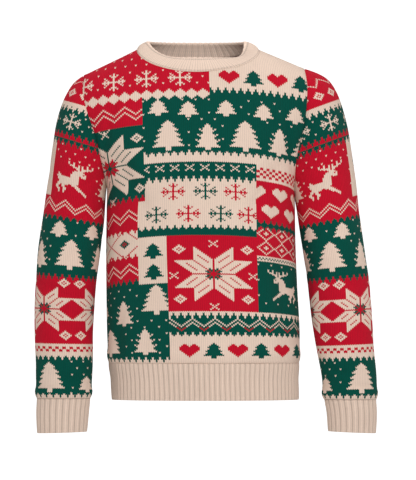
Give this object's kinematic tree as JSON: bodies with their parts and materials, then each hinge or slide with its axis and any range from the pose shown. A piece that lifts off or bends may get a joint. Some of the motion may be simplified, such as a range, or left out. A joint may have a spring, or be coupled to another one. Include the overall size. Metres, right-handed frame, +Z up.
{
  "type": "christmas sweater",
  "caption": "Long-sleeved crew-neck pullover in a winter jacquard knit, hollow and filled out as when worn, with a ribbed neckband, hem and cuffs.",
  "frame": {"origin": "middle of the neck at the height of the shoulder seams' inner ends, where the wearer's neck and shoulders carry the garment", "axes": "+Z up, -Y out of the front, +X towards the wearer's left arm"},
  "size_m": [0.6841, 0.2511, 0.7841],
  "materials": {
    "jacquard_knit": "matte jacquard knit in cream, green and red",
    "rib_knit": "matte cream rib knit"
  },
  "bodies": {
    "root": {"front": "jacquard_knit", "back": "jacquard_knit", "sleeve_right": "jacquard_knit", "sleeve_left": "jacquard_knit", "neckband": "rib_knit", "hem_rib": "rib_knit", "cuff_right": "rib_knit", "cuff_left": "rib_knit"}
  },
  "joints": []
}
